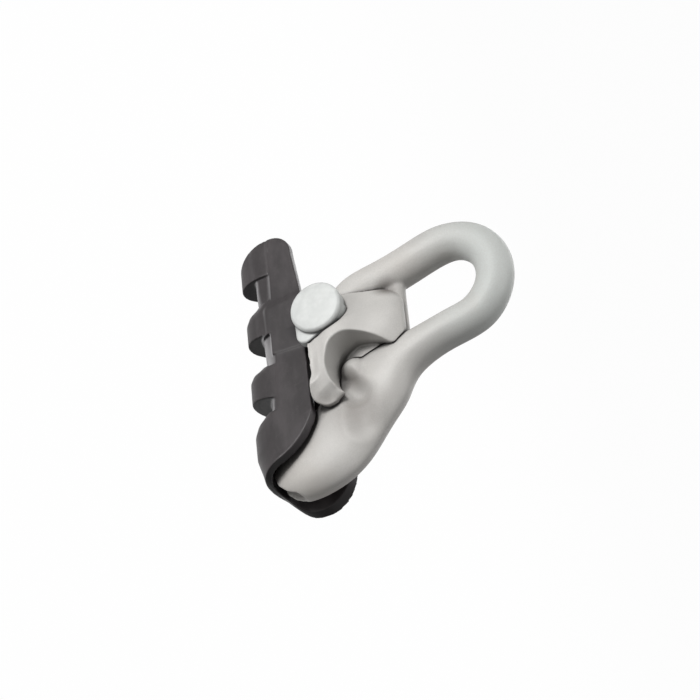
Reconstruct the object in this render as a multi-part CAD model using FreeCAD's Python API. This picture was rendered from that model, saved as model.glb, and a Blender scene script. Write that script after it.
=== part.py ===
"""Suspension clamp for an overhead line.

A cast hanger with an oval eye carries a black elastomer trough, in which the conductor lies.
A cast keeper hooks round a lobe on the hanger, and a side bolt draws keeper, trough ears
and hanger together.

Millimetres. X runs along the conductor, Z points up to the eye, and the origin is in the
middle of the conductor's seat, on its axis.
"""
import FreeCAD
import Part
import math
import os

from FreeCAD import Vector

# Conductor and its seat
CONDUCTOR_R = 4.5
SLOT_FLOOR_Z = 3.0

# Eye of the hanger
EYE_BAR_R = 9.0
EYE_TIP_BAR_R = 8.9
EYE_BEND_R = 22.4
EYE_CENTRE_X = -16.4
EYE_CENTRE_Z = 86.6
WEB_HALF_THICKNESS = 4.0
WEB_TOP_Z = 64.0
WEB_BOTTOM_Z = 24.0

# Side bolt
BOLT_X = -12.8
BOLT_Z = 28.6
BOLT_R = 6.0
BOLT_HOLE_CLEARANCE = 0.4
BOLT_HEAD_R = 12.6
BOLT_HEAD_LENGTH = 3.9
HEAD_BLOCK_R = 12.2
HEAD_BLOCK_LENGTH = 4.9
HEAD_TOE_X = -2.1
HEAD_TOE_Z = 21.3
HEAD_TOE_R = 4.6
BOLT_HEAD_ROUND = 2.0
BOLT_END_CHAMFER = 1.2
THREAD_END_SPARE = 3.0
NUT_ACROSS_FLATS = 19.0
NUT_HEIGHT = 10.0
NUT_BORE_CLEARANCE = 0.06
WASHER_R = 12.0
WASHER_THICKNESS = 2.5
SPRING_WASHER_R = 10.6
SPRING_WASHER_THICKNESS = 3.0
SPRING_WASHER_GAP = 2.4

# Boss of the hanger and ears of the trough round the bolt
BOSS_R = 11.0
BOSS_HALF_THICKNESS = 9.0
EAR_R = 10.0
EAR_THICKNESS = 3.8
LUG_R = 11.6
LUG_THICKNESS = 3.2

# The lobe on the tongue's near side: x, y, z and radius of its two ends
LOBE_TIP = (16.2, -4.6, 37.4, 6.9)
LOBE_ROOT = (30.0, -0.2, 45.0, 8.4)

# Keeper
KEEPER_CLEARANCE = 0.4
BLOCK_CLEARANCE = 0.3
# Front of the keeper at heights z: left end, right end, and how far it stands in front of its back
KEEPER_FRONT = (
    (66.0, -9.0, 6.0, 0.6), (64.5, -14.0, 9.0, 3.8), (61.0, -19.0, 14.0, 7.4), (56.0, -22.6, 20.0, 9.8),
    (50.0, -24.8, 29.0, 12.0), (44.0, -26.5, 38.0, 15.0), (38.0, -27.5, 40.0, 18.0), (31.0, -26.0, 40.0, 18.6),
    (24.0, -20.0, 40.0, 18.6), (16.0, -14.0, 40.0, 15.6),
)
# The shape of each of those levels: share of the way along, share of the way forward
KEEPER_BULGE = (
    (0.0, 0.0), (0.08, 0.38), (0.22, 0.72), (0.38, 0.94), (0.5, 1.0), (0.64, 0.95), (0.78, 0.76), (0.9, 0.54),
    (1.0, 0.34),
)
DOME_TOP_Z = 64.6
CLAW_OUTSIDE = (
    (-14.0, 18.5), (0.0, 21.0), (8.0, 21.9), (16.0, 22.0), (23.5, 21.6), (29.5, 22.4), (33.2, 25.2),
    (32.8, 30.0), (30.0, 34.2),
)
CLAW_INSIDE = (
    (30.0, 34.2), (27.8, 31.8), (24.8, 30.2), (21.0, 29.3), (16.4, 29.2), (12.0, 30.4), (6.9, 32.8),
    (3.8, 36.3), (2.1, 39.8), (2.0, 44.0), (3.4, 49.2), (6.0, 54.6), (8.6, 59.0),
)
SCOOP_FRONT_Y = -27.0
SCOOP_BACK_Y = -6.0
SCOOP_TAPER = 0.9
SCOOP_MIDDLE = (24.0, 46.0)

# Trough
TROUGH_FAR_X = -66.0
VALLEY_DEPTHS = ((-70, 9.0), (-40, 8.8), (-5, 7.4), (26, 6.7), (50, 6.7), (76, 6.7))
RIB_SPANS = ((-72.0, -46.8), (-32.0, -16.5), (-1.0, 15.5))
RIB_DEPTHS = (17.0, 16.4, 16.8)
RIB_LEANS = (0.0, 0.12, 0.3)
RIB_EDGE_ROUND = 5.0
BELL_RIB = ((27.5, 10.0), (30.5, 14.6), (34.5, 16.4), (46, 16.2), (55, 13.6), (62, 12.0), (76, 9.6))
WALL_TOP_FAR_Z = 13.2
WALL_TOP_Z = 16.8
WALL_TOP_HIGH_Z = 24.6
FAR_WALL_LOW_Z = 2.0
NEAR_OUTLINE_Y = -14.0
FAR_OUTLINE_Y = 18.0
OUTLINE_REACH_Y = 25.0
BELL_DEPTHS = ((22, 1.0), (36, 6.4), (47, 9.0), (55, 9.8), (62, 9.0), (76, 6.8))
CORE_TOP_Z = 26.0
BAND_PROUD = 0.5


def ring(centre, across, half_across, half_y, count=12):
    """A closed smooth section: half_across along the unit vector across, half_y along Y."""
    points = []
    for i in range(count):
        angle = 2 * math.pi * i / count
        offset = across * (half_across * math.cos(angle)) + Vector(0, half_y * math.sin(angle), 0)
        points.append(centre + offset)
    curve = Part.BSplineCurve()
    curve.interpolate(Points=points, PeriodicFlag=True)
    return Part.Wire([curve.toShape()])


def bar(stations, grow=0.0):
    """A bar through stations (x, z, tilt, half_across, half_y), tilt in degrees from +X."""
    rings = []
    for x, z, tilt, half_across, half_y in stations:
        across = Vector(math.cos(math.radians(tilt)), 0, math.sin(math.radians(tilt)))
        rings.append(ring(Vector(x, 0, z), across, half_across + grow, half_y + grow))
    return Part.makeLoft(rings, True, False)


def eye_station(angle):
    """A station of the eye's bend, at an angle in degrees from its right leg."""
    turn = math.radians(angle)
    bar_r = EYE_BAR_R - (EYE_BAR_R - EYE_TIP_BAR_R) * math.sin(turn)
    x = EYE_CENTRE_X + EYE_BEND_R * math.cos(turn)
    z = EYE_CENTRE_Z + EYE_BEND_R * math.sin(turn)
    return x, z, angle, bar_r, bar_r


def loop_and_tongue(grow=0.0):
    """Left leg, eye bend, right leg and the tongue that fills the trough's near end."""
    left_leg = [
        (-21.0, 27.0, 222.0, EYE_BAR_R, EYE_BAR_R),
        (-26.8, 37.5, 200.0, 9.3, EYE_BAR_R),
        (-30.9, 53.0, 192.0, 9.4, EYE_BAR_R),
        (-35.5, 70.5, 190.0, 9.3, EYE_BAR_R),
    ]
    bend = [eye_station(180.0 - 30.0 * i) for i in range(7)]
    right_leg = [
        (9.2, 73.5, 13.0, EYE_BAR_R, EYE_BAR_R),
        (13.8, 61.0, 24.0, 11.0, EYE_BAR_R + 0.5),
        (21.5, 49.0, 38.0, 16.5, 10.2),
        (32.0, 37.0, 44.0, 18.6, 10.6),
        (43.5, 25.5, 45.0, 20.0, 10.4),
        (52.8, 13.2, 49.0, 20.0, 10.0),
        (59.6, 4.6, 55.0, 16.6, 9.2),
        (64.6, -0.6, 58.0, 11.0, 6.6),
        (67.0, -2.6, 60.0, 4.0, 2.6),
    ]
    return bar(left_leg + bend + right_leg, grow)


def plate(points, back_y, front_y):
    """A flat plate with a polygon outline of (x, z) points, between two Y values."""
    corners = [Vector(x, back_y, z) for x, z in points]
    face = Part.Face(Part.makePolygon(corners + corners[:1]))
    return face.extrude(Vector(0, front_y - back_y, 0))


def rod(x, z, radius, start_y, end_y):
    """A cylinder along Y."""
    low, high = min(start_y, end_y), max(start_y, end_y)
    return Part.makeCylinder(radius, high - low, Vector(x, low, z), Vector(0, 1, 0))


def web(grow=0.0):
    """The web that closes the eye between its legs, round along its top."""
    half = WEB_HALF_THICKNESS + grow
    edge_z = WEB_TOP_Z - WEB_HALF_THICKNESS
    outline = [(-32.0, edge_z), (8.0, edge_z), (16.0, WEB_BOTTOM_Z), (-20.0, WEB_BOTTOM_Z)]
    edge = Part.makeCylinder(half, 40.0, Vector(-32.0, 0, edge_z), Vector(1, 0, 0))
    return plate(outline, -half, half).fuse(edge)


def lobe(grow=0.0):
    """The round-ended lobe that stands out of the tongue into the keeper's scoop."""
    tip, root = Vector(*LOBE_TIP[:3]), Vector(*LOBE_ROOT[:3])
    tip_r, root_r = LOBE_TIP[3] + grow, LOBE_ROOT[3] + grow
    stem = Part.makeCone(tip_r, root_r, (root - tip).Length, tip, root - tip)
    return Part.makeSphere(tip_r, tip).fuse(stem)


def hanger_boss(grow=0.0):
    """The boss at the foot of the left leg, which the bolt passes through."""
    half = BOSS_HALF_THICKNESS
    return rod(BOLT_X, BOLT_Z, BOSS_R + grow, -half, half)


def hanger():
    """The cast hanger, one piece from the eye to the tongue."""
    body = loop_and_tongue().fuse([web(), hanger_boss(), lobe()]).removeSplitter()
    hole = rod(BOLT_X, BOLT_Z, BOLT_R + BOLT_HOLE_CLEARANCE, -BOSS_HALF_THICKNESS * 2, BOSS_HALF_THICKNESS * 2)
    return body.cut([hole, conductor_corridor()])


def conductor_corridor():
    """The arched way under the tongue where the conductor leaves the trough."""
    radius = CONDUCTOR_R + KEEPER_CLEARANCE
    arch = Part.makeCylinder(radius, 80.0, Vector(5, 0, 0), Vector(1, 0, 0))
    way = Part.makeBox(80.0, 2 * radius, 30.0, Vector(5, -radius, -30.0))
    return arch.fuse(way)


def smooth_line(points, y):
    """A smooth open curve through (x, z) points in the plane of one y."""
    curve = Part.BSplineCurve()
    curve.interpolate([Vector(x, y, z) for x, z in points])
    return curve.toShape()


def straight_lines(points, y):
    """Straight edges through (x, z) points in the plane of one y."""
    places = [Vector(x, y, z) for x, z in points]
    return [Part.makeLine(a, b) for a, b in zip(places, places[1:])]


def keeper_level(z, left, right, depth):
    """A level section of the keeper's bulging front, closed by a straight back."""
    back = -WEB_HALF_THICKNESS - KEEPER_CLEARANCE
    points = [Vector(left + (right - left) * along, back - depth * out, z) for along, out in KEEPER_BULGE]
    curve = Part.BSplineCurve()
    curve.interpolate(points)
    corner = Vector(right, back, z)
    return Part.Wire([curve.toShape(), Part.makeLine(points[-1], corner), Part.makeLine(corner, points[0])])


def claw_outline():
    """Everything inside the claw's outer edge and below the dome's top, as a block along Y."""
    top = [CLAW_OUTSIDE[-1], (45.0, 50.0), (45.0, DOME_TOP_Z), (-30.0, DOME_TOP_Z), (-30.0, 18.5), CLAW_OUTSIDE[0]]
    wire = Part.Wire([smooth_line(CLAW_OUTSIDE, 0)] + straight_lines(top, 0))
    return Part.Face(wire).extrude(Vector(0, SCOOP_FRONT_Y, 0))


def scoop():
    """The room inside the claw, a little narrower towards its back."""
    def outline(y, scale):
        def scaled(points):
            return [(SCOOP_MIDDLE[0] + (x - SCOOP_MIDDLE[0]) * scale, SCOOP_MIDDLE[1] + (z - SCOOP_MIDDLE[1]) * scale)
                    for x, z in points]
        rest = [CLAW_INSIDE[-1], (10.0, 80.0), (70.0, 80.0), (70.0, 42.0), CLAW_INSIDE[0]]
        return Part.Wire([smooth_line(scaled(CLAW_INSIDE), y)] + straight_lines(scaled(rest), y))
    return Part.makeLoft([outline(SCOOP_FRONT_Y, 1.0), outline(SCOOP_BACK_Y, SCOOP_TAPER)], True, True)


def near_ear_y():
    """Where the keeper starts in front of the trough's near ear."""
    return -BOSS_HALF_THICKNESS - EAR_THICKNESS - KEEPER_CLEARANCE


def head_block(front_y, grow=0.0):
    """The teardrop block under the bolt's round head, from the keeper's lug to front_y."""
    back_y = near_ear_y() - LUG_THICKNESS
    round_end = rod(BOLT_X, BOLT_Z, HEAD_BLOCK_R + grow, back_y, front_y)
    toe = rod(HEAD_TOE_X, HEAD_TOE_Z, HEAD_TOE_R + grow, back_y, front_y)
    reach = math.hypot(HEAD_TOE_X - BOLT_X, HEAD_TOE_Z - BOLT_Z)
    along = math.atan2(HEAD_TOE_Z - BOLT_Z, HEAD_TOE_X - BOLT_X)
    lean = math.acos((HEAD_BLOCK_R - HEAD_TOE_R) / reach)
    corners = []
    for x, z, radius, turn in (
        (BOLT_X, BOLT_Z, HEAD_BLOCK_R, along - lean), (HEAD_TOE_X, HEAD_TOE_Z, HEAD_TOE_R, along - lean),
        (HEAD_TOE_X, HEAD_TOE_Z, HEAD_TOE_R, along + lean), (BOLT_X, BOLT_Z, HEAD_BLOCK_R, along + lean),
    ):
        corners.append((x + (radius + grow) * math.cos(turn), z + (radius + grow) * math.sin(turn)))
    return round_end.fuse([toe, plate(corners, back_y, front_y)])


def keeper():
    """The cast keeper: lug under the bolt head, dome and claw."""
    lug_front_y = near_ear_y() - LUG_THICKNESS
    lug = rod(BOLT_X, BOLT_Z, LUG_R, near_ear_y(), lug_front_y)
    front = Part.makeLoft([keeper_level(*level) for level in KEEPER_FRONT], True, False)
    shell = front.common(claw_outline()).cut(scoop()).fuse(lug)
    block_room = head_block(SCOOP_FRONT_Y, BLOCK_CLEARANCE)
    head_room = rod(BOLT_X, BOLT_Z, BOLT_HEAD_R + BLOCK_CLEARANCE, lug_front_y, SCOOP_FRONT_Y)
    ear_room = rod(BOLT_X, BOLT_Z, EAR_R + 2 * KEEPER_CLEARANCE, near_ear_y(), 0)
    root_half = EAR_R + 2 * KEEPER_CLEARANCE
    root_room = Part.makeBox(2 * root_half, -near_ear_y(), BOLT_Z, Vector(BOLT_X - root_half, near_ear_y(), 0))
    hole = rod(BOLT_X, BOLT_Z, BOLT_R + BOLT_HOLE_CLEARANCE, SCOOP_FRONT_Y, 0)
    return shell.cut([
        loop_and_tongue(KEEPER_CLEARANCE), lobe(KEEPER_CLEARANCE), web(KEEPER_CLEARANCE),
        hanger_boss(KEEPER_CLEARANCE), block_room, head_room, ear_room, root_room, hole,
    ])


def trough_section(x, half_width, depth, top_z):
    """A U-shaped outline across the trough: straight sides above a half ellipse."""
    points = [Vector(x, half_width * math.cos(a), depth * math.sin(a))
              for a in [math.pi + math.pi * i / 8 for i in range(9)]]
    arc = Part.BSplineCurve()
    arc.interpolate(points)
    left, right = Vector(x, -half_width, top_z), Vector(x, half_width, top_z)
    return Part.Wire([arc.toShape(), Part.makeLine(points[-1], right),
                      Part.makeLine(right, left), Part.makeLine(left, points[0])])


def outer_half_width(x):
    """Half the trough's outer width at a place along the conductor."""
    return between(((-70, 11.4), (-25, 12.2), (0, 12.5), (30, 14.6), (50, 16.2), (76, 20.0)), x)


def inner_half_width(x):
    """Half the slot's width at a place along the conductor."""
    return between(((-70, 6.4), (-25, 9.0), (0, 9.2), (30, 11.3), (50, 12.4), (76, 16.2)), x)


def valley_section(x):
    """The trough's outline between the ribs, drawn in under the walls."""
    half_width = outer_half_width(x)
    depth = between(VALLEY_DEPTHS, x)
    side = [(half_width, 2.0), (half_width - 1.2, -0.8), (depth + 0.9, -depth * 0.62), (depth * 0.5, -depth * 0.93)]
    points = [(-y, z) for y, z in side] + [(0.0, -depth)] + side[::-1]
    arc = Part.BSplineCurve()
    arc.interpolate([Vector(x, y, z) for y, z in points])
    left, right = Vector(x, -half_width, CORE_TOP_Z), Vector(x, half_width, CORE_TOP_Z)
    ends = [Vector(x, -half_width, 2.0), Vector(x, half_width, 2.0)]
    return Part.Wire([arc.toShape(), Part.makeLine(ends[1], right), Part.makeLine(right, left), Part.makeLine(left, ends[0])])


def between(table, x):
    """Straight interpolation in a short table of (x, value)."""
    for (x0, v0), (x1, v1) in zip(table, table[1:]):
        if x <= x1:
            return v0 + (v1 - v0) * (x - x0) / (x1 - x0)
    return table[-1][1]


def u_loft(stations):
    """A solid through U-shaped sections given as (x, half_width, depth, top_z)."""
    return Part.makeLoft([trough_section(*s) for s in stations], True, True)


def ribs():
    """The three leaning ribs and the long one under the bell: a soft start and a square end each."""
    made = []
    for (start, end), depth, lean in zip(RIB_SPANS, RIB_DEPTHS, RIB_LEANS):
        rise = ((-1.6, 7.0), (0.0, 4.8), (1.6, 1.7), (RIB_EDGE_ROUND, 0.0), (end - start, 0.0))
        rib = u_loft([(start + along, outer_half_width(start + along), depth - short, 1.0) for along, short in rise])
        shear = FreeCAD.Matrix()
        shear.A13 = lean
        shear.A14 = lean * depth
        made.append(rib.transformGeometry(shear))
    made.append(u_loft([(x, outer_half_width(x), depth, 1.0) for x, depth in BELL_RIB]))
    return made


def wall_band():
    """The second rib's band, which stands a little proud of the near wall up to its top."""
    start, end = RIB_SPANS[1]
    depth, lean = RIB_DEPTHS[1], RIB_LEANS[1]
    half_width = outer_half_width(end)
    stations = [(start - 3.0, half_width - 0.8, 8.0, CORE_TOP_Z), (start + 2.0, half_width + BAND_PROUD, 8.0, CORE_TOP_Z),
                (end, half_width + BAND_PROUD, 8.0, CORE_TOP_Z)]
    shear = FreeCAD.Matrix()
    shear.A13 = -lean
    shear.A14 = lean * depth
    return u_loft(stations).transformGeometry(shear)


def trough():
    """The elastomer trough: a seat for the conductor, two walls with ears, and four ribs below."""
    core = Part.makeLoft([valley_section(x) for x in (-70, -40, -25, 0, 30, 50, 76)], True, True)
    body = core.fuse(ribs() + [wall_band()])
    ears = rod(BOLT_X, BOLT_Z, EAR_R, -BOSS_HALF_THICKNESS - EAR_THICKNESS, BOSS_HALF_THICKNESS + EAR_THICKNESS)
    ear_roots = Part.makeBox(2 * EAR_R, 2 * (BOSS_HALF_THICKNESS + EAR_THICKNESS), BOLT_Z,
                             Vector(BOLT_X - EAR_R, -BOSS_HALF_THICKNESS - EAR_THICKNESS, 0))
    body = body.common(side_view()).fuse([ears, ear_roots])
    slot = u_loft([(x, inner_half_width(x), -SLOT_FLOOR_Z, 60.0) for x in (-70, -25, 0, 30)])
    bell = u_loft([(x, inner_half_width(x), depth, 60.0) for x, depth in BELL_DEPTHS])
    seat = Part.makeCylinder(CONDUCTOR_R, 160.0, Vector(-75, 0, 0), Vector(1, 0, 0))
    mouth = Part.makeBox(160.0, 2 * CONDUCTOR_R, 20.0, Vector(-75, -CONDUCTOR_R, 0))
    hole = rod(BOLT_X, BOLT_Z, BOLT_R + BOLT_HOLE_CLEARANCE, -40, 40)
    low = [(-80.0, 60.0), (-80.0, FAR_WALL_LOW_Z), (-27.0, FAR_WALL_LOW_Z), (-24.0, 60.0)]
    return body.cut([slot, bell, seat, mouth, hole, plate(low, 0.0, OUTLINE_REACH_Y)])


def outline_at(y):
    """The trough's outline from the side at one y: shorter on the near wall, higher on the far one."""
    share = (y - NEAR_OUTLINE_Y) / (FAR_OUTLINE_Y - NEAR_OUTLINE_Y)

    def place(near, far):
        return Vector(near[0] + (far[0] - near[0]) * share, y, near[1] + (far[1] - near[1]) * share)

    far_end = place((TROUGH_FAR_X, 1.0), (TROUGH_FAR_X, 1.0))
    far_top = place((-56.0, WALL_TOP_FAR_Z), (-56.0, WALL_TOP_FAR_Z))
    far_bottom = place((-54.0, -20.0), (-54.0, -20.0))
    shoulder = place((-31.0, WALL_TOP_Z), (-31.0, WALL_TOP_Z))
    rise = place((10.0, 17.2), (20.0, 17.0))
    corner = place((34.5, 18.4), (55.0, WALL_TOP_HIGH_Z))
    rim = place((50.8, 8.4), (69.0, 11.5))
    rim_foot = place((59.4, -11.0), (62.0, -9.0))
    near_bottom = place((58.0, -24.0), (57.0, -24.0))
    return Part.Wire([
        Part.Arc(far_bottom, place((-63.0, -9.5), (-63.0, -9.5)), far_end).toShape(),
        Part.Arc(far_end, place((-63.6, 10.2), (-63.6, 10.2)), far_top).toShape(),
        Part.makeLine(far_top, shoulder), Part.makeLine(shoulder, rise), Part.makeLine(rise, corner),
        Part.Arc(corner, rim, rim_foot).toShape(), Part.makeLine(rim_foot, near_bottom),
        Part.makeLine(near_bottom, far_bottom),
    ])


def side_view():
    """The block that trims walls and rim: the rim slants from the near wall to the far one."""
    return Part.makeLoft([outline_at(-OUTLINE_REACH_Y), outline_at(OUTLINE_REACH_Y)], True, True)


def bolt():
    """The side bolt: a round head on an oval block on the near side, its end beyond the nut."""
    under_block = near_ear_y() - LUG_THICKNESS
    under_head = under_block - HEAD_BLOCK_LENGTH
    head = rod(BOLT_X, BOLT_Z, BOLT_HEAD_R, under_head, under_head - BOLT_HEAD_LENGTH)
    face = [e for e in head.Edges if abs(e.BoundBox.YMax - (under_head - BOLT_HEAD_LENGTH)) < 0.01]
    head = head.makeFillet(BOLT_HEAD_ROUND, face)
    end = nut_y() + NUT_HEIGHT + THREAD_END_SPARE
    shank = rod(BOLT_X, BOLT_Z, BOLT_R, under_block, end)
    tip = [e for e in shank.Edges if abs(e.BoundBox.YMin - end) < 0.01]
    shank = shank.makeChamfer(BOLT_END_CHAMFER, tip)
    return head.fuse([head_block(under_head), shank]).removeSplitter()


def washer_y():
    return BOSS_HALF_THICKNESS + EAR_THICKNESS


def spring_washer_y():
    return washer_y() + WASHER_THICKNESS


def nut_y():
    return spring_washer_y() + SPRING_WASHER_THICKNESS


def washer():
    """The flat washer on the far ear."""
    disc = rod(BOLT_X, BOLT_Z, WASHER_R, washer_y(), spring_washer_y())
    return disc.cut(rod(BOLT_X, BOLT_Z, BOLT_R + BOLT_HOLE_CLEARANCE, 0, 60))


def spring_washer():
    """The split spring washer under the nut."""
    disc = rod(BOLT_X, BOLT_Z, SPRING_WASHER_R, spring_washer_y(), nut_y())
    split = Part.makeBox(SPRING_WASHER_GAP, SPRING_WASHER_THICKNESS, SPRING_WASHER_R * 2,
                         Vector(BOLT_X - SPRING_WASHER_GAP / 2, spring_washer_y(), BOLT_Z))
    return disc.cut([rod(BOLT_X, BOLT_Z, BOLT_R + BOLT_HOLE_CLEARANCE, 0, 60), split])


def nut():
    """The hexagon nut."""
    corner = NUT_ACROSS_FLATS / math.sqrt(3)
    points = [(BOLT_X + corner * math.cos(math.radians(60 * i)), BOLT_Z + corner * math.sin(math.radians(60 * i)))
              for i in range(6)]
    prism = plate(points, nut_y(), nut_y() + NUT_HEIGHT)
    cone = Part.makeCone(corner - 0.6 + NUT_HEIGHT, corner - 0.6, NUT_HEIGHT,
                         Vector(BOLT_X, nut_y(), BOLT_Z), Vector(0, 1, 0))
    return prism.common(cone).cut(rod(BOLT_X, BOLT_Z, BOLT_R + NUT_BORE_CLEARANCE, 0, 80))


def main():
    os.makedirs("parts", exist_ok=True)
    pieces = {
        "hanger_casting": hanger(), "keeper_casting": keeper(), "conductor_trough": trough(),
        "clamp_bolt": bolt(), "flat_washer": washer(), "spring_washer": spring_washer(), "hex_nut": nut(),
    }
    for name, shape in pieces.items():
        print(name, "solids", len(shape.Solids), "valid", shape.isValid(), "volume", round(shape.Volume))
        shape.exportStep(f"parts/{name}.step")


main()
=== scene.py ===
"""A suspension clamp for an overhead line, dressed for rendering.

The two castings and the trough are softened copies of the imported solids, so that their edges and
corners are as round as a casting's and a moulding's. The bolt is turned and cut here. The washers and
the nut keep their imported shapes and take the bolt's finish.
"""
import math

import bmesh
import bpy
from mathutils import Matrix, Vector
from mathutils.bvhtree import BVHTree


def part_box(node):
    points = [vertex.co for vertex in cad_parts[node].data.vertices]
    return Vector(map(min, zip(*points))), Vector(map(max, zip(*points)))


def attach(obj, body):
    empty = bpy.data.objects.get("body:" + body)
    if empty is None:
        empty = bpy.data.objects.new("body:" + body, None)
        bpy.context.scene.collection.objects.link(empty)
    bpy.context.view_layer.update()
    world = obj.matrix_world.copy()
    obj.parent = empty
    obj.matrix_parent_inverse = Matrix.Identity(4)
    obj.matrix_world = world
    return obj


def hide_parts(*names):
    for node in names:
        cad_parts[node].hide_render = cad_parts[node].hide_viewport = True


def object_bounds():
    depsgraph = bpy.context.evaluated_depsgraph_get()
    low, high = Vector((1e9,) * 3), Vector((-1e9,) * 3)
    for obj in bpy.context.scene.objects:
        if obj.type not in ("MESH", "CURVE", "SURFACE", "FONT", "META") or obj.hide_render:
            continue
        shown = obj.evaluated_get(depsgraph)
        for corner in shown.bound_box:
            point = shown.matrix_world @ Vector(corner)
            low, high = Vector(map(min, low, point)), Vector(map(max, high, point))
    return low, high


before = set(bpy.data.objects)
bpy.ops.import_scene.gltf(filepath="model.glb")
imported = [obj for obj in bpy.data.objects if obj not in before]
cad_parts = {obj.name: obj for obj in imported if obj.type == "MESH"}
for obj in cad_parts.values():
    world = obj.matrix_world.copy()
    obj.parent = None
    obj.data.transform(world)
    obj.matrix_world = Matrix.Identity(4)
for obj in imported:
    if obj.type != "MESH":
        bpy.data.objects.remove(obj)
CAD_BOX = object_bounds()

bl_info = {
    "name": "Suspension clamp",
    "version": (1, 0, 0),
    "blender": (4, 5, 0),
    "location": "View3D > Sidebar > Clamp",
    "description": "Dresses the suspension clamp's frame with cast, moulded and turned pieces",
    "category": "Object",
}

MM = 0.001
WHITE = (1.0, 1.0, 1.0, 1.0)


# ---------------------------------------------------------------- materials

class Wire:
    """A socket that takes part in plain arithmetic: each operator adds a Math node."""

    def __init__(self, nodes, socket):
        self.nodes = nodes
        self.socket = socket

    def math(self, operation, *others):
        values = dict(enumerate((self,) + others))
        return self.nodes.node("ShaderNodeMath", {"operation": operation}, values)

    def __add__(self, other):
        return self.math("ADD", other)

    __radd__ = __add__

    def __mul__(self, other):
        return self.math("MULTIPLY", other)

    __rmul__ = __mul__


class Nodes:
    """A node tree that is built up by expressions."""

    def __init__(self, tree):
        self.tree = tree

    def node(self, kind, settings=None, values=None, out=0):
        """Any node: settings first, then the values or links of its sockets."""
        made = self.tree.nodes.new(kind)
        for key, value in (settings or {}).items():
            setattr(made, key, value)
        for key, value in (values or {}).items():
            self.feed(made.inputs[key], value)
        return Wire(self, made.outputs[out])

    def feed(self, socket, value):
        if isinstance(value, Wire):
            self.tree.links.new(value.socket, socket)
        else:
            socket.default_value = value


class Paint(Nodes):
    """One material and its nodes."""

    def __init__(self, name, **fixed):
        self.material = bpy.data.materials.new(name)
        self.material.use_nodes = True
        super().__init__(self.material.node_tree)
        self.shader = self.tree.nodes["Principled BSDF"]
        for socket, value in fixed.items():
            self.to(socket.replace("_", " "), value)

    def to(self, socket, value):
        self.feed(self.shader.inputs[socket], value)

    def place(self):
        """Object coordinates in metres."""
        return self.node("ShaderNodeTexCoord", out="Object")

    def component(self, vector, axis):
        return self.node("ShaderNodeSeparateXYZ", values={"Vector": vector}, out=axis)

    def along(self, axis):
        """Place along an axis of the clamp, in metres."""
        return self.component(self.place(), axis)

    def facing(self, axis, low, high):
        """Smooth step of the surface's slope along an axis of the clamp."""
        slope = self.node("ShaderNodeTexCoord", out="Normal")
        return self.ramp(self.component(slope, axis), low, high)

    def shelter(self):
        """How closely the surface is shut in, from 0 in the open to 1 in a crevice."""
        return self.node("ShaderNodeAttribute", {"attribute_name": "shelter"}, out="Fac")

    def from_axis(self):
        """Distance from the conductor's axis, in metres."""
        across = self.node("ShaderNodeVectorMath", {"operation": "MULTIPLY"}, {0: self.place(), 1: (0.0, 1.0, 1.0)})
        return self.node("ShaderNodeVectorMath", {"operation": "LENGTH"}, {0: across}, out="Value")

    def near(self, centre, radius):
        """1 at a point, falling smoothly to 0 at a radius, both in mm."""
        point = tuple(c * MM for c in centre)
        gap = self.node("ShaderNodeVectorMath", {"operation": "DISTANCE"}, {0: self.place(), 1: point}, out="Value")
        return self.ramp(gap, radius * MM, 0.0)

    def noise(self, scale, detail=4.0, roughness=0.5, stretch=None):
        """Grey noise from 0 to 1, scale in features a metre, stretched along an axis if asked."""
        where = self.place()
        if stretch:
            where = self.node("ShaderNodeMapping", values={"Vector": where, "Scale": stretch})
        values = {"Vector": where, "Scale": scale, "Detail": detail, "Roughness": roughness}
        return self.node("ShaderNodeTexNoise", values=values, out="Fac")

    def ramp(self, factor, low, high):
        """Smooth step of factor, 0 at low and 1 at high."""
        values = {"Value": factor, "From Min": low, "From Max": high}
        return self.node("ShaderNodeMapRange", {"interpolation_type": "SMOOTHSTEP"}, values)

    def mix(self, factor, first, second):
        """A colour between two, each a colour or a wire."""
        return self.node("ShaderNodeMix", {"data_type": "RGBA"}, {0: factor, 6: first, 7: second}, out=2)

    def bump(self, height, strength, distance):
        """Normals of a relief, distance in mm."""
        values = {"Height": height, "Strength": strength, "Distance": distance * MM}
        return self.node("ShaderNodeBump", values=values, out="Normal")


def tinted(colour, factors):
    """A colour with each of its channels times a factor."""
    return tuple(c * factor for c, factor in zip(colour, factors)) + (1.0,)


def shade(colour, factor):
    """A colour darker or lighter by a factor."""
    return tinted(colour, (factor,) * 3)


CASTING_FINISH = "blasted casting"
ZINC_FINISH = "galvanised steel"
# Painted shade: the near-black that the castings take in their crevices, where shade falls
CREVICE_SHADE_COLOUR = (0.030, 0.027, 0.025, 1.0)
SHADE_AND_DIRT_BROWN = (0.085, 0.074, 0.065, 1.0)
# Soft brown patches on the castings, mostly painted shade with some dirt: a middle and a radius in mm, and how dark
# each is.
# They lie on the tongue, under the lobe, between dome and left leg, and on the claw's end.
SHADE_AND_DIRT_PATCHES = (
    ((40.0, -12.0, 38.5), 20.0, 0.70),
    ((22.5, -10.0, 37.0), 10.0, 0.76),
    ((-21.0, -6.0, 57.0), 8.5, 0.85),
    ((33.5, -18.0, 26.0), 7.5, 0.62),
)
# Heights between which the eye takes on its cooler tint
COOL_FROM_Z = 60 * MM
COOL_TO_Z = 110 * MM
# Distances from the conductor's axis between which the painted highlight in the trough's valleys fades out
HIGHLIGHT_CLEAR_R = 13.5 * MM
HIGHLIGHT_FULL_R = 12.0 * MM


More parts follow.
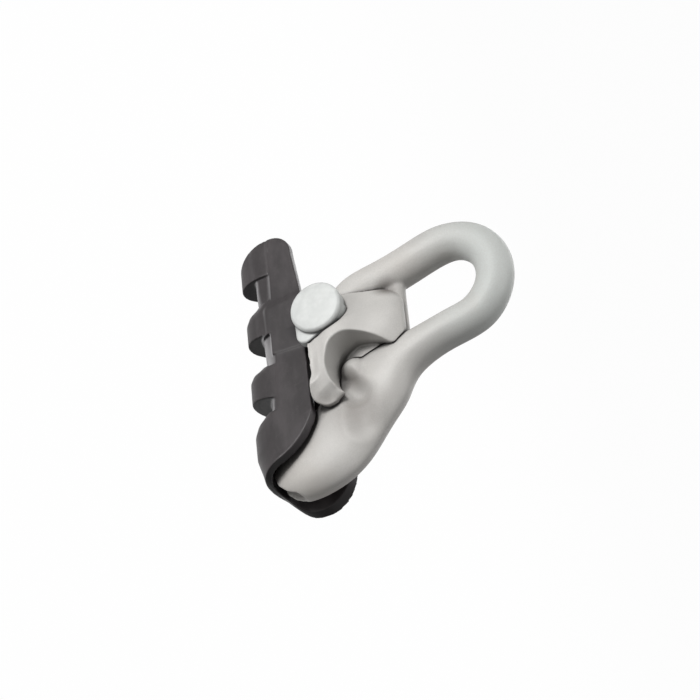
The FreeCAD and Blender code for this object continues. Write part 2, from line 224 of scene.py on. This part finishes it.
def cast_metal(settings):
    """Blasted cast aluminium: cloudy grey, cooler up the eye, with a fine grain, painted shade in its crevices and
    soft brown patches of painted shade and dirt.
    """
    paint = Paint(CASTING_FINISH, Metallic=0.12)
    cloud = paint.ramp(paint.noise(scale=55.0, detail=3.0), low=0.35, high=0.68)
    speck = paint.ramp(paint.noise(scale=1500.0, detail=3.0, roughness=0.6), low=0.3, high=0.7)
    stain = paint.ramp(paint.noise(scale=24.0, detail=5.0, roughness=0.6), low=0.5, high=0.74)
    colour = tuple(settings.colour)
    dull, clean = shade(colour, 0.93), shade(colour, 1.05)
    cool = tinted(colour, (0.95, 1.02, 1.03))
    specked = shade(colour, 0.86)
    stained = tinted(colour, (0.84, 0.80, 0.76))

    base = paint.mix(cloud, dull, clean)
    base = paint.mix(paint.ramp(paint.along("Z"), COOL_FROM_Z, COOL_TO_Z), base, cool)
    base = paint.mix(speck * 0.5, base, specked)
    base = paint.mix(stain * 0.4, base, stained)
    # Painted shade with some dirt: soft brown patches where the tongue, the lobe, the dome's corner and the claw's
    # end fall in shade
    for centre, radius, strength in SHADE_AND_DIRT_PATCHES:
        shade_and_dirt_patch = paint.near(centre, radius) * (0.8 + 0.2 * cloud) * strength
        base = paint.mix(shade_and_dirt_patch, base, SHADE_AND_DIRT_BROWN)
    # Painted shade: the castings darken where walls shut them in, by the shelter attribute, with a little stain
    # noise
    grime = paint.ramp(paint.shelter() + 0.06 * stain, low=0.12, high=0.52)
    base = paint.mix(grime * settings.grime, base, CREVICE_SHADE_COLOUR)
    paint.to("Base Color", base)

    paint.to("Roughness", 0.5 + 0.1 * cloud + 0.06 * speck)
    grain = paint.noise(scale=2100.0, detail=4.0, roughness=0.65) + 0.6 * paint.noise(scale=520.0, detail=3.0)
    paint.to("Normal", paint.bump(grain, strength=0.35, distance=0.12))
    return paint.material


def elastomer(settings):
    """Moulded black elastomer, satin, with faint smears and dust, painted shade in its crevices and on its faces
    towards +X, and a pale painted highlight in its valleys.
    """
    paint = Paint("black elastomer", Metallic=0.0, Specular_IOR_Level=0.22)
    smear = paint.ramp(paint.noise(scale=40.0, roughness=0.6, stretch=(1.0, 1.0, 2.4)), low=0.38, high=0.72)
    dust = paint.ramp(paint.noise(scale=420.0, detail=5.0, roughness=0.7), low=0.5, high=0.8)
    colour = tuple(settings.colour)
    painted_highlight = tuple(settings.painted_highlight) + (1.0,)
    plain, smeared = shade(colour, 0.8), shade(colour, 1.25)
    dusty = shade(colour, 1.9)
    crevice_shade_colour, x_facing_shade = shade(colour, 0.15), shade(colour, 0.08)

    base = paint.mix(smear, plain, smeared)
    base = paint.mix(dust * 0.25, base, dusty)
    # Painted shade: the trough goes nearly black where walls shut it in
    base = paint.mix(paint.ramp(paint.shelter(), low=0.15, high=0.6) * 0.9, base, crevice_shade_colour)
    # Painted shade: faces turned towards +X, the rib ends among them, go nearly black as if out of the light
    base = paint.mix(paint.facing("X", low=0.35, high=0.85) * 0.85, base, x_facing_shade)
    # Painted highlight: pale colour on the downward-facing valley floors near the axis, in place of the reflection
    # at their lower edges
    valley_highlight_mask = paint.ramp(paint.from_axis(), HIGHLIGHT_CLEAR_R, HIGHLIGHT_FULL_R) * paint.facing("Z", low=-0.2, high=-0.7)
    base = paint.mix(valley_highlight_mask * (0.55 + 0.35 * smear), base, painted_highlight)
    paint.to("Base Color", base)

    paint.to("Roughness", 0.34 + 0.14 * smear + 0.1 * dust)
    grain = paint.noise(scale=900.0, detail=3.0) + 0.8 * paint.noise(scale=160.0, detail=2.0)
    paint.to("Normal", paint.bump(grain, strength=0.18, distance=0.12))
    return paint.material


def zinc(settings):
    """Hot-dip galvanised steel: pale, mottled in soft spangles, with painted shade in its crevices."""
    paint = Paint(ZINC_FINISH, Metallic=0.15)
    cells = {"Vector": paint.place(), "Scale": 420.0}
    spangle = paint.node("ShaderNodeTexVoronoi", {"feature": "SMOOTH_F1"}, cells)
    patch = paint.ramp(paint.noise(scale=130.0, roughness=0.6), low=0.35, high=0.7)
    colour = tuple(settings.colour)
    dull, clean = shade(colour, 0.9), shade(colour, 1.06)
    spangled = shade(colour, 0.82)
    crevice_shade_colour = shade(colour, 0.1)

    base = paint.mix(patch, dull, clean)
    base = paint.mix(paint.ramp(spangle, low=0.2, high=0.7) * 0.3, base, spangled)
    # Painted shade: the bolt, washers and nut go dark where walls shut them in, as under the head
    base = paint.mix(paint.ramp(paint.shelter(), low=0.1, high=0.5) * 0.85, base, crevice_shade_colour)
    paint.to("Base Color", base)

    paint.to("Roughness", 0.52 + 0.14 * patch)
    grain = paint.noise(scale=700.0, roughness=0.6) + 0.5 * spangle
    paint.to("Normal", paint.bump(grain, strength=0.22, distance=0.2))
    return paint.material


# ---------------------------------------------------------------- meshes

WELD = 0.002 * MM
SMOOTHING = 0.5
SETTLING_ROUNDS = 3


def placed(name, data):
    """An object for the data, in the scene."""
    made = bpy.data.objects.new(name, data)
    bpy.context.scene.collection.objects.link(made)
    return made


def finished(shape, name):
    """The bmesh as a mesh."""
    mesh = bpy.data.meshes.new(name)
    shape.to_mesh(mesh)
    shape.free()
    return mesh


def add_to(shape, other):
    """Moves a second bmesh into the first."""
    spare = finished(other, "spare")
    shape.from_mesh(spare)
    bpy.data.meshes.remove(spare)


def modify(piece, kind, **values):
    modifier = piece.modifiers.new(kind.lower(), kind)
    for key, value in values.items():
        setattr(modifier, key, value)


def softened(node, name, voxel, rounds, kept=1.0):
    """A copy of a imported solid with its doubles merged, remeshed, smoothed and thinned out to a share."""
    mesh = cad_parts[node].data.copy()
    copy = bmesh.new()
    copy.from_mesh(mesh)
    bmesh.ops.remove_doubles(copy, verts=copy.verts, dist=WELD)
    copy.to_mesh(mesh)
    copy.free()
    rough = placed(name + "_rough", mesh)
    modify(rough, "REMESH", mode="VOXEL", voxel_size=voxel)
    modify(rough, "SMOOTH", factor=SMOOTHING, iterations=rounds)
    modify(rough, "DECIMATE", ratio=kept)
    modify(rough, "SMOOTH", factor=SMOOTHING, iterations=SETTLING_ROUNDS)
    depsgraph = bpy.context.evaluated_depsgraph_get()
    final = bpy.data.meshes.new_from_object(rough.evaluated_get(depsgraph))
    final.name = name
    bpy.data.objects.remove(rough)
    final.shade_smooth()
    return placed(name, final)


def pushed(piece, pushes):
    """Moves the surface along each line, most in its middle: pushes of (start, end, radius, offset) in mm."""
    for start, end, radius, offset in pushes:
        first, last, way = Vector(start) * MM, Vector(end) * MM, Vector(offset) * MM
        run = last - first
        for vertex in piece.data.vertices:
            along = (vertex.co - first).dot(run) / run.length_squared
            nearest = first + run * min(max(along, 0.0), 1.0)
            pull = 1 - (vertex.co - nearest).length_squared / (radius * MM) ** 2
            if pull > 0:
                vertex.co += way * pull * pull


def worn(piece, place, radius, rounds):
    """Smooths the surface round a point, as wear does at a sharp corner, place and radius in mm."""
    shape = bmesh.new()
    shape.from_mesh(piece.data)
    near = [v for v in shape.verts if (v.co - Vector(place) * MM).length < radius * MM]
    for _ in range(rounds):
        bmesh.ops.smooth_vert(shape, verts=near, factor=SMOOTHING, use_axis_x=True, use_axis_y=True, use_axis_z=True)
    shape.to_mesh(piece.data)
    shape.free()


def turned(profile, centre, steps):
    """A body turned round an axis along Y from a profile of (radius, y)."""
    shape = bmesh.new()
    corners = [shape.verts.new((centre.x + radius, y, centre.z)) for radius, y in profile]
    edges = [shape.edges.new(pair) for pair in zip(corners, corners[1:])]
    bmesh.ops.spin(shape, geom=corners + edges, cent=centre, axis=(0, 1, 0), angle=math.tau, steps=steps,
                   use_merge=True)
    bmesh.ops.remove_doubles(shape, verts=shape.verts, dist=WELD / 2)
    bmesh.ops.recalc_face_normals(shape, faces=shape.faces)
    return shape


def threaded(shape, centre, radius, start, end, pitch, depth):
    """Adds a screw thread round an axis along Y, cut off square at its end."""
    thread = bmesh.new()
    root = radius - depth
    corners = [thread.verts.new((centre.x + root + depth * out, start + pitch * along, centre.z))
               for out, along in THREAD_FORM]
    edges = [thread.edges.new(pair) for pair in zip(corners, corners[1:])]
    turns = math.ceil((end - start) / pitch) + 1
    steps = THREAD_STEPS * turns
    bmesh.ops.spin(thread, geom=corners + edges, cent=centre, axis=(0, 1, 0), angle=math.tau * turns,
                   dvec=(0, pitch * turns / steps, 0), steps=steps, use_merge=False)
    bmesh.ops.remove_doubles(thread, verts=thread.verts, dist=WELD / 2)
    everything = thread.verts[:] + thread.edges[:] + thread.faces[:]
    cut = bmesh.ops.bisect_plane(thread, geom=everything, dist=0.0, plane_co=(0, end, 0), plane_no=(0, 1, 0),
                                 clear_outer=True)
    rim = [e for e in cut["geom_cut"] if isinstance(e, bmesh.types.BMEdge)]
    bmesh.ops.contextual_create(thread, geom=rim)
    bmesh.ops.recalc_face_normals(thread, faces=thread.faces)
    add_to(shape, thread)


def edge_profile(radius, edge, face_y, steps):
    """(radius, y) points of a rounded edge, from a face on the near side to its wall."""
    rim = radius - edge
    turns = [math.radians(90 * i / steps) for i in range(steps + 1)]
    return [(rim + edge * math.sin(turn), face_y + edge * (1 - math.cos(turn))) for turn in turns]


def oval_block(shape, ends, face_y, back_y, edge):
    """Adds the hull of two round blocks along Y, ends of (x, z, radius), with a rounded near edge."""
    block = bmesh.new()
    for x, z, radius in ends:
        for r, y in edge_profile(radius, edge, face_y, BLOCK_EDGE_STEPS) + [(radius, back_y)]:
            for i in range(ROUND_STEPS):
                turn = math.radians(360 / ROUND_STEPS * i)
                block.verts.new((x + r * math.cos(turn), y, z + r * math.sin(turn)))
    hull = bmesh.ops.convex_hull(block, input=block.verts[:])
    inside = [v for v in hull["geom_interior"] if isinstance(v, bmesh.types.BMVert)]
    bmesh.ops.delete(block, geom=inside, context="VERTS")
    bmesh.ops.dissolve_limit(block, angle_limit=FLAT, verts=block.verts, edges=block.edges)
    bmesh.ops.recalc_face_normals(block, faces=block.faces)
    add_to(shape, block)


# ---------------------------------------------------------------- settings

def length(name, description, size):
    """A length that a user can change, size in mm."""
    return bpy.props.FloatProperty(
        name=name, description=description, default=size * MM, unit="LENGTH", precision=5)


def share(name, description, part):
    return bpy.props.FloatProperty(name=name, description=description, default=part)


def count(name, description, number):
    return bpy.props.IntProperty(name=name, description=description, default=number)


def coat_colour(name, description, colour):
    """The colour of a finish that a user can change."""
    return bpy.props.FloatVectorProperty(name=name, description=description, default=colour, subtype="COLOR")


class CastingSettings(bpy.types.PropertyGroup):
    """Sizes and colours of the two castings"""
    voxel: length("Grid", "Grid of the softened castings", 0.7)
    rounds: count("Rounds", "Rounds of smoothing, which set how round the corners are", 6)
    colour: coat_colour("Colour", "Colour of the blasted castings", (0.40, 0.389, 0.372))
    # How dark the painted shade in the castings' crevices is
    grime: share("Crevice shade", "How dark the crevices of the castings are", 0.85)
    reach: length("Reach", "How near a wall must be to shut a point in", 14.0)
    rays: count("Rays", "Directions that each point looks in", 20)


class TroughSettings(bpy.types.PropertyGroup):
    """Sizes and colours of the trough"""
    voxel: length("Grid", "Grid of the softened trough", 0.35)
    rounds: count("Rounds", "Rounds of smoothing on the trough", 14)
    kept: share("Kept", "Share of the trough's faces that is kept", 0.25)
    colour: coat_colour("Colour", "Colour of the elastomer", (0.033, 0.029, 0.030))
    # Colour of the painted highlight in the trough's valleys
    painted_highlight: coat_colour("Painted highlight", "Colour of the pale bloom in the valleys", (0.30, 0.295, 0.30))


class FastenerSettings(bpy.types.PropertyGroup):
    """Sizes of the bolt and the colour of the fasteners"""
    head_radius: length("Head radius", "Radius of the bolt's round head", 12.6)
    head_height: length("Head height", "Height of the bolt's round head", 3.9)
    crown: length("Crown", "How far the head's face is domed", 0.7)
    head_round: length("Head round", "Radius of the head's edge", 1.7)
    block_height: length("Block height", "Height of the oval block under the head", 4.9)
    block_radius: length("Block radius", "Radius of the block round the shank", 12.2)
    toe_radius: length("Toe radius", "Radius of the block's toe", 4.6)
    toe_along: length("Toe along", "The toe's place along the trough from the shank", 10.7)
    toe_drop: length("Toe drop", "How far the toe's middle lies below the shank's", 7.3)
    block_round: length("Block round", "Radius of the block's edge", 1.0)
    shank_radius: length("Shank", "Radius of the bolt's shank", 6.0)
    pitch: length("Pitch", "Pitch of the thread", 1.75)
    thread_depth: length("Thread depth", "Depth of the thread", 0.9)
    thread_length: length("Thread length", "Length of the cut thread at the end", 9.0)
    colour: coat_colour("Colour", "Colour of the galvanised steel", (0.45, 0.46, 0.45))


class StageSettings(bpy.types.PropertyGroup):
    """The stage round the clamp"""
    floor_drop: length("Floor drop", "How far the floor lies below the clamp", 300.0)
    distance: length("Camera distance", "Camera to the middle of the picture", 2000.0)
    ambient: share("Ambient", "Level of the light from all round", 0.20)


# ---------------------------------------------------------------- pieces

# The hollow under the lobe, and the tongue's shallow waist beside the claw's end
TONGUE_PUSHES = (
    ((21.5, -11.0, 33.0), (30.0, -11.0, 38.5), 8.5, (0.0, 2.3, 0.0)),
    ((32.0, -11.5, 40.0), (46.0, -11.0, 41.0), 11.0, (0.0, 2.2, 0.0)),
)
# The claw's outer edge, rolled back; its broad lower edge; and its end, drawn down onto the tongue
CLAW_PUSHES = (
    ((-1.0, -24.5, 20.5), (19.0, -23.5, 20.5), 7.0, (0.0, 3.6, 0.0)),
    ((24.0, -15.0, 21.0), (29.0, -15.0, 23.0), 8.0, (0.4, 0.0, -2.6)),
    ((30.0, -17.0, 33.0), (33.0, -17.0, 27.0), 6.0, (0.0, 1.8, 0.0)),
)
# The claw's sharp tip, and how far round it and how much it is worn
CLAW_TIP = (30.8, -14.0, 34.0)
CLAW_WEAR_R = 5.0
CLAW_WEAR_ROUNDS = 120
# The keeper's thin edges need a finer grid than the hanger's thick bar
KEEPER_FINER = 2
KEEPER_ROUNDS = 3

# The bolt's domed face, from its middle out: share of the head's radius, share of the crown
CROWN_FORM = ((0.0, 0.0), (0.45, 0.18), (0.75, 0.55))
# The thread from root to root: share of its depth outwards, share of the pitch along
THREAD_FORM = ((0.0, 0.0), (1.0, 0.38), (1.0, 0.5), (0.0, 0.88), (0.0, 1.0))
THREAD_STEPS = 40
ROUND_STEPS = 96
HEAD_EDGE_STEPS = 6
BLOCK_EDGE_STEPS = 5
FLAT = math.radians(0.5)
CREASE = math.radians(35)
UNDER_HEAD_BEVEL = 0.3 * MM
THREAD_RUN_OUT = 0.6 * MM
CORE_UNDERCUT = 0.1 * MM
CORE_END_GAP = 0.4 * MM
THREAD_END_GAP = 0.35 * MM

DRESSED_PIECES = ("hanger", "keeper", "trough", "bolt")
PACKED_FASTENERS = ("flat_washer", "spring_washer", "hex_nut")
SKIN = 0.15 * MM
GOLDEN_TURN = math.pi * (3 - math.sqrt(5))


def dress(piece, node, body, material):
    """The piece stands for the node, rides on its body and takes the material."""
    piece.data.materials.clear()
    piece.data.materials.append(material)
    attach(piece, body)
    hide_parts(node)


class CLAMP_OT_hanger(bpy.types.Operator):
    """Makes the cast hanger with its eye and tongue"""
    bl_idname = "clamp.hanger"
    bl_label = "Hanger casting"

    def execute(self, context):
        settings = context.scene.clamp_castings
        piece = softened("hanger_casting", "hanger", settings.voxel, settings.rounds)
        pushed(piece, TONGUE_PUSHES)
        dress(piece, "hanger_casting", "hanger", cast_metal(settings))
        return {"FINISHED"}


class CLAMP_OT_keeper(bpy.types.Operator):
    """Makes the cast keeper with its dome and claw"""
    bl_idname = "clamp.keeper"
    bl_label = "Keeper casting"

    def execute(self, context):
        settings = context.scene.clamp_castings
        piece = softened("keeper_casting", "keeper", settings.voxel / KEEPER_FINER, settings.rounds * KEEPER_ROUNDS)
        pushed(piece, CLAW_PUSHES)
        worn(piece, CLAW_TIP, CLAW_WEAR_R, CLAW_WEAR_ROUNDS)
        dress(piece, "keeper_casting", "keeper", bpy.data.materials[CASTING_FINISH])
        return {"FINISHED"}


class CLAMP_OT_trough(bpy.types.Operator):
    """Makes the moulded trough for the conductor"""
    bl_idname = "clamp.trough"
    bl_label = "Conductor trough"

    def execute(self, context):
        settings = context.scene.clamp_trough
        piece = softened("conductor_trough", "trough", settings.voxel, settings.rounds, settings.kept)
        dress(piece, "conductor_trough", "hanger", elastomer(settings))
        return {"FINISHED"}


class CLAMP_OT_bolt(bpy.types.Operator):
    """Turns the side bolt with its low domed head, and makes its oval block and its thread"""
    bl_idname = "clamp.bolt"
    bl_label = "Side bolt"

    def execute(self, context):
        settings = context.scene.clamp_fasteners
        low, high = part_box("clamp_bolt")
        head = settings.head_radius
        shank = settings.shank_radius
        root = shank - settings.thread_depth
        centre = Vector((low.x + head, low.y, high.z - head))
        face = low.y + settings.crown
        under_head = low.y + settings.head_height
        under_block = under_head + settings.block_height
        last = high.y - settings.thread_length
        core_end = high.y - CORE_END_GAP

        profile = [(head * out, low.y + settings.crown * back) for out, back in CROWN_FORM]
        profile += edge_profile(head, settings.head_round, face, HEAD_EDGE_STEPS)
        profile += [
            (head, under_head - UNDER_HEAD_BEVEL), (head - UNDER_HEAD_BEVEL, under_head),
            (shank, under_head), (shank, last),
            (root, last + THREAD_RUN_OUT), (root - CORE_UNDERCUT, core_end), (0.0, core_end),
        ]
        shape = turned(profile, centre, ROUND_STEPS)
        toe = (centre.x + settings.toe_along, centre.z - settings.toe_drop, settings.toe_radius)
        heel = (centre.x, centre.z, settings.block_radius)
        oval_block(shape, (heel, toe), under_head, under_block, settings.block_round)
        threaded(shape, centre, shank, last, high.y - THREAD_END_GAP, settings.pitch, settings.thread_depth)
        mesh = finished(shape, "bolt")
        mesh.shade_smooth()
        mesh.set_sharp_from_angle(angle=CREASE)
        dress(placed("bolt", mesh), "clamp_bolt", "keeper", zinc(settings))
        return {"FINISHED"}


class CLAMP_OT_fasteners(bpy.types.Operator):
    """Gives the washers and the nut their galvanised finish"""
    bl_idname = "clamp.fasteners"
    bl_label = "Washers and nut"

    def execute(self, context):
        for node in PACKED_FASTENERS:
            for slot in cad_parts[node].material_slots:
                slot.material = bpy.data.materials[ZINC_FINISH]
        return {"FINISHED"}


def half_dome(rays):
    """Directions spread over the half of a sphere round +Z, more of them near its top."""
    directions = []
    for i in range(rays):
        out = math.sqrt((i + 0.5) / rays)
        turn = i * GOLDEN_TURN
        directions.append(Vector((out * math.cos(turn), out * math.sin(turn), math.sqrt(1 - out * out))))
    return directions


def shut_in(tree, vertex, directions, reach):
    """How closely the walls round a vertex shut it in, from 0 in the open to 1."""
    turn = vertex.normal.to_track_quat("Z", "Y")
    start = vertex.co + vertex.normal * SKIN
    hits = 0.0
    for direction in directions:
        distance = tree.ray_cast(start, turn @ direction, reach)[3]
        if distance is not None:
            hits += 1 - distance / reach
    return hits / len(directions)


class CLAMP_OT_crevice_shade(bpy.types.Operator):
    """Works out how shut in every point of the pieces is, for the painted shade in the crevices"""
    bl_idname = "clamp.grime"
    bl_label = "Crevice shade"

    def execute(self, context):
        settings = context.scene.clamp_castings
        pieces = [bpy.data.objects[name] for name in DRESSED_PIECES]
        corners, faces = [], []
        for piece in pieces:
            first = len(corners)
            corners += [v.co.copy() for v in piece.data.vertices]
            faces += [[first + i for i in polygon.vertices] for polygon in piece.data.polygons]
        tree = BVHTree.FromPolygons(corners, faces)
        directions = half_dome(settings.rays)
        for piece in pieces:
            levels = [shut_in(tree, v, directions, settings.reach) for v in piece.data.vertices]
            found = piece.data.attributes.new("shelter", "FLOAT", "POINT")
            found.data.foreach_set("value", levels)
        return {"FINISHED"}


# ---------------------------------------------------------------- stage

# The camera's right and up in the clamp's frame, and the point in the middle of the picture
CAMERA_RIGHT = (0.0882, 0.4420, 0.8925)
CAMERA_UP = (-0.8436, -0.4420, 0.3026)
PICTURE_MIDDLE = (-0.0059, 0.0088, 0.0298)
PICTURE_WIDTH = 0.3226
SENSOR_WIDTH = 36.0
VIEW_END = 50.0

FLOOR_HALF = 12.0
FLOOR_COLOUR = (0.9, 0.9, 0.9, 1.0)
# How much of the floor the camera sees as plain white, the rest showing its shadow
FLOOR_GLOW = 0.97
# The kinds of ray that see the world as plain white
WHITE_RAYS = ("Is Camera Ray", "Is Glossy Ray", "Is Transmission Ray")

# Square soft lamps: name, place, the point that it faces, size and power in watts
LAMPS = (
    ("key", (-0.4, -1.36, 0.12), (0.0, 0.0, 0.04), 0.4, 17.5),
    ("low", (-0.15, -0.5, -0.22), (0.0, 0.0, 0.0), 0.15, 0.5),
    ("top", (-0.2, -0.1, 1.3), (0.0, 0.0, 0.04), 0.9, 8.0),
    ("back", (-0.7, 1.0, 0.5), (0.0, 0.0, 0.04), 0.9, 6.0),
)


def axes(right, up):
    """The rotation of a camera from its right and up directions."""
    back = Vector(right).cross(Vector(up)).normalized()
    right = Vector(right).normalized()
    up = back.cross(right)
    return Matrix((right, up, back)).transposed().to_4x4()


class CLAMP_OT_stage(bpy.types.Operator):
    """Sets the camera, the floor, the lamps and the world"""
    bl_idname = "clamp.stage"
    bl_label = "Stage"

    def execute(self, context):
        settings = context.scene.clamp_stage
        self.camera(context.scene, settings.distance)
        self.floor(CAD_BOX[0][2] - settings.floor_drop)
        for lamp in LAMPS:
            self.lamp(*lamp)
        self.world(context.scene, settings.ambient)
        context.scene.view_settings.view_transform = "Standard"
        return {"FINISHED"}

    def camera(self, scene, distance):
        data = bpy.data.cameras.new("camera")
        data.sensor_width = SENSOR_WIDTH
        data.lens = SENSOR_WIDTH * distance / PICTURE_WIDTH
        data.clip_end = VIEW_END
        turn = axes(CAMERA_RIGHT, CAMERA_UP)
        back = turn.to_3x3() @ Vector((0, 0, 1))
        made = placed("camera", data)
        made.matrix_world = Matrix.Translation(Vector(PICTURE_MIDDLE) + back * distance) @ turn
        scene.camera = made

    def floor(self, height):
        shape = bmesh.new()
        bmesh.ops.create_grid(shape, x_segments=1, y_segments=1, size=FLOOR_HALF)
        bmesh.ops.translate(shape, vec=(0, 0, height), verts=shape.verts)
        made = placed("floor", finished(shape, "floor"))
        paint = Paint("pale floor", Base_Color=FLOOR_COLOUR, Roughness=0.9)
        seen = paint.node("ShaderNodeLightPath", out="Is Camera Ray")
        glow = paint.node("ShaderNodeEmission", values={"Color": WHITE, "Strength": 1.0})
        lit = Wire(paint, paint.shader.outputs[0])
        blend = paint.node("ShaderNodeMixShader", values={0: seen * FLOOR_GLOW, 1: lit, 2: glow})
        paint.feed(paint.tree.nodes["Material Output"].inputs["Surface"], blend)
        made.data.materials.append(paint.material)

    def lamp(self, name, place, target, size, power):
        data = bpy.data.lights.new(name, "AREA")
        data.shape = "SQUARE"
        data.size = size
        data.energy = power
        direction = Vector(target) - Vector(place)
        turn = direction.to_track_quat("-Z", "Y").to_matrix().to_4x4()
        placed(name, data).matrix_world = Matrix.Translation(place) @ turn

    def world(self, scene, ambient):
        world = bpy.data.worlds.new("studio")
        world.use_nodes = True
        nodes = Nodes(world.node_tree)
        seen = 0.0
        for ray in WHITE_RAYS:
            seen = nodes.node("ShaderNodeLightPath", out=ray).math("MAXIMUM", seen)
        level = nodes.node("ShaderNodeMapRange", values={"Value": seen, "To Min": ambient, "To Max": 1.0})
        background = nodes.tree.nodes["Background"]
        nodes.feed(background.inputs["Color"], WHITE)
        nodes.feed(background.inputs["Strength"], level)
        scene.world = world


# ---------------------------------------------------------------- add-on

class CLAMP_PT_panel(bpy.types.Panel):
    """Lists the clamp's pieces"""
    bl_idname = "CLAMP_PT_panel"
    bl_label = "Suspension clamp"
    bl_space_type = "VIEW_3D"
    bl_region_type = "UI"
    bl_category = "Clamp"

    def draw(self, context):
        for operator in OPERATORS:
            self.layout.operator(operator.bl_idname)
        for name, kind in SETTINGS.items():
            box = self.layout.box()
            for key in kind.__annotations__:
                box.prop(getattr(context.scene, name), key)


SETTINGS = {
    "clamp_castings": CastingSettings,
    "clamp_trough": TroughSettings,
    "clamp_fasteners": FastenerSettings,
    "clamp_stage": StageSettings,
}
OPERATORS = (
    CLAMP_OT_hanger, CLAMP_OT_keeper, CLAMP_OT_trough, CLAMP_OT_bolt, CLAMP_OT_fasteners, CLAMP_OT_crevice_shade,
    CLAMP_OT_stage,
)
CLASSES = tuple(SETTINGS.values()) + OPERATORS + (CLAMP_PT_panel,)


def register():
    for kind in CLASSES:
        bpy.utils.register_class(kind)
    for name, kind in SETTINGS.items():
        setattr(bpy.types.Scene, name, bpy.props.PointerProperty(type=kind))


def unregister():
    for name in SETTINGS:
        delattr(bpy.types.Scene, name)
    for kind in reversed(CLASSES):
        bpy.utils.unregister_class(kind)


def main():
    register()
    bpy.ops.clamp.hanger()
    bpy.ops.clamp.keeper()
    bpy.ops.clamp.trough()
    bpy.ops.clamp.bolt()
    bpy.ops.clamp.fasteners()
    bpy.ops.clamp.grime()
    bpy.ops.clamp.stage()


if __name__ == "__main__":
    main()
